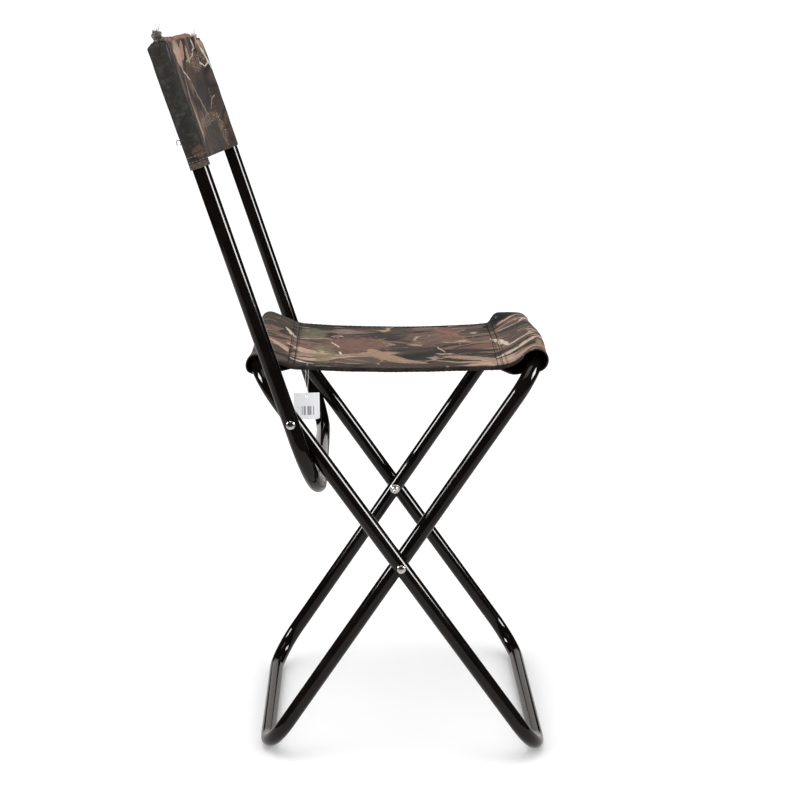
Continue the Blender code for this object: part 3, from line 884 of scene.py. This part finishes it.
def seat_lines():
    """The sling's (y, z) lines, from the rear loop's lower layer over both bars to the front loop's."""
    columns = []
    for x in np.linspace(-SEAT_HALF, SEAT_HALF, SEAT_COLUMNS):
        rear = resample(seat_loop(REAR, x, True)[::-1], LOOP_ROWS)
        front = resample(seat_loop(FRONT, x, False), LOOP_ROWS)
        t = np.linspace(0, 1, SHEET_ROWS + 2)[1:-1]
        sheet = rear[-1] + (front[0] - rear[-1]) * t[:, None]
        low = REAR.z - SHEET_DIP - 0.0024 * float(smooth(x, -0.02, SEAT_HALF))
        sheet[:, 1] += (low - (rear[-1, 1] + front[0, 1]) / 2) * np.sin(math.pi * t) ** 0.8
        columns.append(np.r_[rear, sheet, front])
    return blurred(np.array(columns), 4)


def half_width(y, z, row):
    """How far the cloth reaches sideways at this row: waisted, and cut back where a leg comes out."""
    rear = abs(y - REAR.y) < abs(y - FRONT.y)
    bar, inward = (REAR, REAR.y - y) if rear else (FRONT, y - FRONT.y)
    half = SEAT_HALF - 0.006 * math.sin(min(max(inward, 0) / 0.14, 1) * math.pi / 2)
    if LOOP_ROWS - 3 < row < SHEET_END + 3 or inward > SEAM_IN + 0.01:
        return half
    under = float(smooth(bar.z - z, 0.005, 0.0095) if rear else smooth(bar.z - z, 0.0095, 0.0125))
    clear = float(smooth(inward, 0.012, 0.018))
    open_at = 0.115 if rear else 0.105
    return half * (1 - under) + (open_at * (1 - clear) + 0.121 * clear) * under


def seat_surface():
    """The sling as a grid of points with its flat coordinates."""
    lines = seat_lines()
    rows = lines.shape[1]
    step = np.linalg.norm(np.diff(lines, axis=1), axis=2)
    along = np.concatenate([np.zeros((SEAT_COLUMNS, 1)), np.cumsum(step, axis=1)], axis=1)
    along -= along[:, LOOP_ROWS : LOOP_ROWS + 1]
    middle = lines[SEAT_COLUMNS // 2]
    halves = np.array([half_width(*middle[row], row) for row in range(rows)])
    halves = blurred(halves[None, :, None], 2)[0, :, 0]
    grid = np.zeros((SEAT_COLUMNS, rows, 3))
    grid[:, :, 0] = SHARE[:, None] * halves
    grid[:, :, 1:] = lines
    flat = np.stack([grid[:, :, 0], along + OVER_REAR], 2)
    across = normals_of(grid)
    for i in range(SEAT_COLUMNS):
        edge = float(smooth(abs(SHARE[i]), 0.6, 1.0))
        for row in range(rows):
            p = grid[i, row]
            sheet = float(smooth(row, LOOP_ROWS - 4, LOOP_ROWS + 8) * smooth(SHEET_END - row, -4, 8))
            sewn = math.exp(-(((REAR.y - p[1] - 0.032) / 0.006) ** 2))
            sewn = max(sewn, math.exp(-(((p[1] - FRONT.y - 0.035) / 0.006) ** 2)))
            fold = ruffle(p, (0.045, 0.09, 0.2), 3.0) * 0.0012 * sheet
            fold += ruffle(p, (0.02, 0.03, 0.1), 9.0) * 0.0004
            fold += ruffle(p, (0.005, 0.05, 0.1), 21.0) * 0.0006 * sewn
            fold += ruffle(p, (0.03, 0.012, 0.05), 30.0) * 0.0007 * edge * (1 - sheet)
            grid[i, row] = p + across[i, row] * fold
    grid[:, CUT, 1] = (REAR.y + FRONT.y) / 2
    return grid, flat, along


grid, flat, along = seat_surface()
seat_rear_cloth, seat_front_cloth = skin(
    [("seat_cloth_rear", 0, CUT), ("seat_cloth_front", CUT, grid.shape[1] - 1)],
    grid, flat, SEAT_PRINT_REAR, -1,
)
seat_front_cloth.data.materials[0] = SEAT_PRINT_FRONT
seat_normals = -normals_of(grid)


def sew(parts, points, normals, stitch, space, radius):
    """Lays stitches along a line of surface points: each dips into the cloth at both ends."""
    lengths = walked(points)

    def at(d, table):
        return Vector([float(np.interp(d, lengths, table[:, k])) for k in range(3)])

    d = space
    while d + stitch < lengths[-1]:
        path = []
        for t in (0, 0.25, 0.5, 0.75, 1):
            lift = radius * (0.9 - 3.2 * (2 * t - 1) ** 4)
            path.append(at(d + stitch * t, points) + at(d + stitch * t, normals).normalized() * lift)
        parts.add(*tube(path, [radius * w for w in (0.75, 1, 1, 1, 0.75)], 6))
        d += stitch + space


def surface_row(j):
    """Points and normals on the seat's upper surface, at each column's own fractional row."""
    i, j0 = np.arange(SEAT_COLUMNS), np.floor(j).astype(int)
    t = (j - j0)[:, None]
    p = grid[i, j0] * (1 - t) + grid[i, j0 + 1] * t
    n = seat_normals[i, j0] * (1 - t) + seat_normals[i, j0 + 1] * t
    n /= np.linalg.norm(n, axis=1, keepdims=True)
    return p + n * (CLOTH / 2), n


def row_at(inward, rear):
    """The fractional row where each column is this far in from the bar's axis, on the upper layer."""
    sign, bar, start = (1, REAR, LOOP_ROWS - 26) if rear else (-1, FRONT, SHEET_END - 30)
    span = np.arange(start, start + 56)
    away = bar.y - grid[:, span, 1]
    return np.array([np.interp(sign * x, line, span) for x, line in zip(inward, away)])


def seat_stitches(end, offsets, skew):
    """Two rows of dark stitches through both layers of a loop's seam."""
    parts = Parts()
    for offset in offsets:
        sew(parts, *surface_row(row_at(offset - skew * SHARE, end == "rear")), 0.0031, 0.0014, 0.00034)
    place(uv_from(parts.build(f"seat_seam_{end}", [THREAD])), f"seat_{end}", "camo_cloth")


seat_stitches("rear", (0.0285, 0.0345), 0.0008)
seat_stitches("front", (0.0315, 0.037), 0.0035)


TAPE_WIDE, TAPE_TALL, TAPE_SIDES = 0.0019, 0.0021, 14


def binding(side, end):
    """A dark tape folded over the sheet's edge, a little lumpy where it is sewn."""
    i, sign = (SEAT_COLUMNS - 1, 1) if side == "right" else (0, -1)
    span = range(LOOP_ROWS - 14, CUT + 1) if end == "rear" else range(CUT, SHEET_END + 14)
    points = []
    for index, j in enumerate(span):
        n = Vector(seat_normals[i, j])
        d = (Vector(grid[i, j + 1]) - Vector(grid[i, j - 1])).normalized()
        n = (n - d * n.dot(d)).normalized()
        tip = (index if end == "rear" else len(span) - 1 - index) / 10
        swell = 0.55 + 0.45 * min(tip, 1.0)
        swell *= 1 + 0.12 * noise.noise(Vector((j * 0.9, sign * 3.0, 1.0))) + 0.06 * math.sin(j * 2.2)
        for c, s in circle(TAPE_SIDES):
            wide = math.copysign(abs(c) ** 0.75, c) * TAPE_WIDE * swell + 0.0005
            tall = math.copysign(abs(s) ** 0.75, s) * TAPE_TALL * swell - 0.0009
            points.append(Vector(grid[i, j]) + Vector((sign * wide, 0, 0)) + n * tall)
    faces = rod_faces(len(span), TAPE_SIDES)
    obj = mesh_object(f"seat_hem_{end}_{side}", points, faces, [TAPE], 60, out=True)
    return place(uv_from(obj), f"seat_{end}", "edge_tape", f"seat_binding_{end}_{side}")


hems = {(end, side): binding(side, end) for end in ("rear", "front") for side in ("left", "right")}
place(seat_rear_cloth, "seat_rear", "camo_cloth", "seat_sling_rear")
place(seat_front_cloth, "seat_front", "camo_cloth", "seat_sling_front")


# --- back band ---

BAND_TOP = 0.3814
BAND_ROWS, WRAP = 64, 44
BAND_R = 0.0094
BAND_SEAM = 0.0185


def band_line(bow):
    """The band's (x, forward) line: a loop round one upright, across, and a loop round the other."""
    loop = loop_round((BAND_SEAM, 0.001), [((0, 0), BAND_R)])
    loop = np.r_[loop, [[BAND_SEAM + 0.005, -0.0006]]]
    left = resample([(-BACK_HALF + inward, forward) for inward, forward in loop[::-1]], WRAP)
    right = left[::-1] * np.array([-1, 1])
    t = np.linspace(0, 1, 92)[1:-1]
    x = left[-1, 0] + (right[0, 0] - left[-1, 0]) * t
    forward = left[-1, 1] - bow * np.sin(math.pi * t) ** 0.7
    return blurred(np.r_[left, np.stack([x, forward], 1), right][None], 3)[0]


def back_point(x, forward, up):
    return back_axes @ Vector((x, -forward, up))


def band_surface():
    """The band as a grid of points, with (distance across, height above the pivot) as flat places."""
    columns = len(band_line(0.004))
    grid, flat = np.zeros((columns, BAND_ROWS, 3)), np.zeros((columns, BAND_ROWS, 2))
    for j, t in enumerate(1 - (1 - np.linspace(0, 1, BAND_ROWS)) ** 1.25):
        line = band_line(0.0045 + 0.002 * math.sin(math.pi * t))
        across = walked(line)
        for i, (x, forward) in enumerate(line):
            sleeve = float(smooth(abs(x), BACK_HALF - 0.017, BACK_HALF - 0.008))
            low = float(np.interp(x, [-0.16, -0.15, 0.15, 0.16], [0.2607, 0.2655, 0.2525, 0.2525]))
            up = low + (BAND_TOP - low) * t
            centre = math.copysign(BACK_HALF, x)
            neck = float(smooth(up, 0.377 if x < 0 else 0.3705, BAND_TOP)) * sleeve
            shrink = 1 - 0.6 * neck**1.2 * sleeve
            wave = ruffle((x, up, 0.3), (0.05, 0.03, 1), 14.0) * 0.0016 * (1 - sleeve)
            wave += ruffle((x, up, 0.1), (0.012, 0.05, 1), 40.0) * 0.0004
            turn = math.atan2(forward, x - centre)
            pleat = 0.0008 * neck * math.sin(9 * turn)
            pleat += 0.00035 * sleeve * ruffle((turn, up, 0), (0.6, 0.012, 1), 5.0)
            pleat *= sleeve
            px = centre + (x - centre) * shrink + math.cos(turn) * pleat
            grid[i, j] = back_point(px, forward * shrink + wave + math.sin(turn) * pleat, up)
            flat[i, j] = (across[i] - across[-1] / 2, up)
    return grid, flat


band, band_flat = band_surface()
(band_cloth,) = skin([("band_cloth", 0, BAND_ROWS - 1)], band, band_flat, BAND_PRINT, 1)
band_normals = normals_of(band)
place(band_cloth, "back", "camo_cloth_back", "back_sling")


HEM_WIDE, HEM_TALL, HEM_SIDES = 0.0021, 0.0039, 18


def top_hem():
    """The band's folded top edge, a soft uneven roll from one sleeve's neck to the other's."""
    path = []
    for t in np.linspace(0, 1, 60):
        sag = 0.0004 + 0.0047 * math.sin(math.pi * t) ** 0.7
        path.append(back_point(-0.1545 + 0.309 * t, -sag, 0.3824 + 0.0004 * math.sin(9 * t)))
    upright = (back_axes.to_3x3() @ Vector((0, 0, 1))).normalized()
    points, last = [], len(path) - 1
    for index, p in enumerate(path):
        d = (path[min(index + 1, last)] - path[max(index - 1, 0)]).normalized()
        side = d.cross(upright).normalized()
        swell = 0.62 + 0.38 * min(index / 3, (last - index) / 3, 1)
        swell *= 1 + 0.2 * noise.noise(Vector((index * 0.55, 0.0, 0.0)))
        for c, s in circle(HEM_SIDES):
            size = swell * (1 + 0.12 * noise.noise(Vector((c * 1.5, s * 1.5, index * 0.35))))
            points.append(p + side * (c * HEM_WIDE * size) + upright * (s * HEM_TALL * size))
    faces = rod_faces(len(path), HEM_SIDES)
    obj = mesh_object("back_hem_roll", points, faces, [HEM], 60, out=True)
    return place(uv_from(obj), "back", "hem_cloth", "back_hem")


top_hem_roll = top_hem()


THREAD_R = 0.00016


def knot(name, at, size, seed, threads, made, collars):
    """The sleeve's gathered end: turns of faded cord round a tuft of cloth, and loose threads."""
    pick = random.Random(seed)
    centre, turn = back_point(*at), back_axes.to_3x3()
    parts, fine = Parts(), Parts()

    def drawn(*spans):
        return Vector([pick.uniform(*ends) for ends in spans])

    def ring(radius, cord, spin, squash_by, wobble, offset):
        path = []
        for k in range(29):
            t = 2 * math.pi * k / 28
            r = radius * (1 + wobble * math.sin(3 * t + spin.x))
            lift = 0.5 * cord * math.sin(2 * t + spin.y)
            p = Vector((r * math.cos(t), r * math.sin(t) * squash_by, lift))
            path.append(centre + turn @ (offset + spin.to_matrix() @ p))
        parts.add(*tube(path, [cord * pick.uniform(0.8, 1.15) for _ in path], 10))

    for _ in range(6):
        spin = Euler(drawn((-1.4, 1.4), (-1.4, 1.4), (0, 6)))
        shift = drawn((-0.2, 0.2), (-0.2, 0.2), (-0.25, 0.2)) * size
        radius, cord = size * pick.uniform(0.36, 0.62), size * pick.uniform(0.17, 0.27)
        ring(radius, cord, spin, pick.uniform(0.6, 1.0), 0.16, shift)
    for n in range(collars):
        spin, low = Euler((0.16 * (n - 0.5), 0.1, n * 2.0)), Vector((0, 0, -size * (1.02 - 0.24 * n)))
        ring(size * (0.78 + 0.08 * n), size * 0.15, spin, 1.0, 0.04, low)
    for n in range(6):
        start = Vector((pick.uniform(-0.4, 0.4), pick.uniform(-0.4, 0.4), 0.1)) * size
        lean = drawn((-0.5, 0.5), (-0.6, 0.5), (0.5, 0.85)) * size
        path = [centre + turn @ (start + lean * (k / 4) ** (1 + 0.2 * (n % 3))) for k in range(5)]
        parts.add(*tube(path, [size * w for w in (0.2, 0.27, 0.22, 0.16, 0.05)], 8))
    tuft = place(parts.build(name, [made], 60), "back", "camo_cloth_back")
    for _ in range(threads):
        lean = drawn((-0.5, 0.5), (-0.9, 0.3), (0.6, 1.1))
        reach = size * pick.uniform(0.9, 2.0)
        curl = Vector((pick.uniform(-1, 1), pick.uniform(-1, 1), 0)) * size * 0.6
        path = [centre + turn @ (lean * reach * t + curl * t * t) for t in (k / 8 for k in range(9))]
        fine.add(*tube(path, [THREAD_R * (1 - 0.06 * k) for k in range(9)], 6))
    place(uv_from(fine.build(f"{name}_threads", [PALE_THREAD])), "back", "camo_cloth_back")
    return tuft


near_knot = knot("sleeve_knot_left", (-BACK_HALF, 0.003, 0.3868), 0.0062, 11, 9, DRAB_THREAD, 2)
far_knot = knot("sleeve_knot_right", (BACK_HALF + 0.002, 0.002, 0.3812), 0.0046, 5, 6, PINK_THREAD, 0)


def band_stitches():
    """Pale rows beside each sleeve, and round the left sleeve's lower hem."""
    parts = Parts()
    low_half = slice(1, BAND_ROWS // 2)
    rows = [((i, low_half), 0.0028, 0.0012, 0.00034) for i in (WRAP + 1, len(band) - WRAP - 2)]
    rows += [((slice(6, WRAP), j), 0.0026, 0.0010, 0.0003) for j in (3, 5)]
    for at, stitch, space, radius in rows:
        sew(parts, band[at] + band_normals[at] * CLOTH / 2, band_normals[at], stitch, space, radius)
    return place(uv_from(parts.build("back_stitches", [PALE_THREAD])), "back", "camo_cloth_back")


back_stitches = band_stitches()


def stray_loop():
    """A short loop of thread that stands out behind the left sleeve, near its lower end."""
    path = []
    for k in range(25):
        t = 2 * math.pi * (k / 24) * 0.86 - 0.9
        forward, up = -0.0112 - 0.0021 * math.cos(t), 0.2885 + 0.0026 * math.sin(t)
        path.append(back_point(-BACK_HALF - 0.002, forward, up))
    obj = mesh_object("sleeve_thread_loop", *tube(path, 0.00038, 8), [DRAB_THREAD])
    place(obj, "back", "camo_cloth_back")


stray_loop()


# --- hang tag ---

CARD_LOW, CARD_HIGH = (Vector(corner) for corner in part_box("hang_tag"))
CARD_X = (CARD_LOW.x + CARD_HIGH.x) / 2
CARD_SHIFT = 0.0015
HOLE_R, HOLE_DOWN = 0.0013, 0.0036


def tag_card():
    """A thin card, a little bowed, with a punched hole near its top edge."""
    middle, half = (CARD_LOW.y + CARD_HIGH.y) / 2, (CARD_HIGH.y - CARD_LOW.y) / 2
    top, tall = CARD_HIGH.z, CARD_HIGH.z - CARD_LOW.z
    spokes, rings = 72, 12
    points, faces, flat = [], [], []
    for side in (1, -1):
        for r in range(rings + 1):
            for c, s in circle(spokes):
                to_side = half / max(abs(c), 1e-6)
                to_end = (HOLE_DOWN if s > 0 else tall - HOLE_DOWN) / max(abs(s), 1e-6)
                d = HOLE_R + (min(to_side, to_end) - HOLE_R) * r / rings
                a, b = d * c, d * s - HOLE_DOWN
                bow = 0.0011 * (1 - (a / half) ** 2) + 0.0009 * (b / tall) ** 2 * (1 + a / half)
                points.append((CARD_X - bow + 0.0002 * side, middle + a + CARD_SHIFT, top + b))
                flat.append((-a, b))
    rim = rings * spokes
    back = rim + spokes
    for a in range(0, rim, spokes):
        faces += ring_faces(a, a + spokes, spokes) + ring_faces(back + a + spokes, back + a, spokes)
    faces += ring_faces(back, 0, spokes) + ring_faces(rim, back + rim, spokes)
    obj = mesh_object("tag_card", points, faces, [CARD], out=True)
    lay_flat(obj, flat)
    place(obj, "tag", "white_card", "hang_tag")


def tag_loop():
    """A fine clear loop from the eyelet to the card's hole."""
    low, high = CARD_HIGH.z - 0.0042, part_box("tag_loop")[1][2] - 0.0004
    path = []
    for k in range(61):
        t = 2 * math.pi * k / 61
        rise = (1 - math.cos(t)) / 2
        y = TAG.y + CARD_SHIFT * (1 - rise) + 0.0012 * math.sin(t) * (0.5 + rise)
        x = CARD_X - 0.0011 * (1 - rise) + 0.0006 * math.sin(2 * t)
        path.append(Vector((x, y, low + (high - low) * rise)))
    obj = mesh_object("tag_fastener", *tube(path, 0.00022, 8), [NYLON], 60, out=True)
    place(obj, "tag", "clear_nylon", "tag_loop")


tag_card()
tag_loop()

# --- floor, light and camera ---


def glow(name, corners, strength, diffuse=None):
    """A flat staged card. Without a diffuse colour it shines, and only in reflections."""
    g = Graph(name)
    grain = g.noise(g.here(), 3)
    shine = g.node("Emission", {"Strength": strength})
    surface = shine.outputs[0]
    if diffuse:
        paint = g.node("BsdfDiffuse", {0: g.mix(grain, diffuse, dim(diffuse, 0.99))})
        surface = g.node("AddShader", {0: paint.outputs[0], 1: surface}).outputs[0]
    else:
        g.put(shine.inputs[0], g.mix(grain, (1, 0.97, 0.95), (0.93, 0.9, 0.88)))
    g.put(g.out.inputs[0], surface)
    obj = mesh_object(name, corners, [(0, 1, 2, 3)], [g.material], 0)
    if diffuse:
        obj.visible_glossy = False
    else:
        obj.visible_camera = obj.visible_diffuse = obj.visible_shadow = obj.visible_transmission = False


def stage_cards():
    """A seamless pale floor with no horizon, and the patches of white that the enamel mirrors."""
    size, low = 60.0, -0.0002
    floor = [(-size, -size, low), (size, -size, low), (size, size, low), (-size, size, low)]
    glow("studio_floor", floor, 0.1, (0.965, 0.965, 0.97))
    near, far, wide, under = -0.9, 3.0, 1.3, -0.0004
    table = [(near, -wide, under), (far, -wide, under), (far, wide, under), (near, wide, under)]
    glow("floor_sheen", table, 0.85)
    wall = [(far, -wide, -0.5), (far, wide, -0.5), (far, wide, 2.2), (far, -wide, 2.2)]
    glow("wall_sheen", wall, 1.25)


def soft_box(name, spot, aim, size, radiance, glossy_only=True):
    """A rectangular light of this radiance. A glossy-only one makes highlights and no shadows."""
    data = bpy.data.lights.new(name, "AREA")
    data.shape = "RECTANGLE"
    data.size, data.size_y = size
    data.energy = radiance * math.pi * size[0] * size[1]
    obj = bpy.data.objects.new(name, data)
    bpy.context.scene.collection.objects.link(obj)
    obj.location = spot
    obj.rotation_mode = "QUATERNION"
    obj.rotation_quaternion = (Vector(aim) - Vector(spot)).to_track_quat("-Z", "Y")
    obj.visible_diffuse = not glossy_only
    obj.visible_camera = False


def studio():
    world = bpy.data.worlds.new("studio")
    bpy.context.scene.world = world
    world.use_nodes = True
    background = world.node_tree.nodes["Background"]
    background.inputs[0].default_value = (1, 1, 1, 1)
    background.inputs[1].default_value = 1.06
    world.cycles_visibility.glossy = False
    middle = (0, 0, 0.4)
    soft_box("overhead", (-0.5, 0.2, 2.6), middle, (1.6, 1.2), 2.2, glossy_only=False)
    soft_box("front_side", (-0.8, -2.4, 1.42), middle, (1.0, 1.1), 34.0)
    soft_box("rear_side", (-0.4, 2.4, 1.55), middle, (0.85, 1.0), 36.0)
    bpy.context.scene.view_settings.view_transform = "Standard"


def photo_camera():
    """The viewpoint: beside the chair's left, a little above the seat."""
    yaw, pitch, roll = math.radians(1.348), math.radians(13.292), math.radians(-0.534)
    forward = Vector((math.cos(yaw) * math.cos(pitch), -math.sin(yaw) * math.cos(pitch), -math.sin(pitch)))
    right = forward.cross(Vector((0, 0, 1))).normalized()
    up = right.cross(forward)
    c, s = math.cos(roll), math.sin(roll)
    right, up = c * right + s * up, c * up - s * right
    data = bpy.data.cameras.new("camera")
    data.sensor_width = 36.0
    data.lens = 73.78
    data.clip_end = 100
    camera = bpy.data.objects.new("camera", data)
    bpy.context.scene.collection.objects.link(camera)
    spin = Matrix((right, up, -forward)).transposed().to_4x4()
    camera.matrix_world = Matrix.Translation(LEGS + Vector((-1.71923, 0.03653, 0.5429))) @ spin
    bpy.context.scene.camera = camera


stage_cards()
studio()
photo_camera()
bpy.context.view_layer.update()
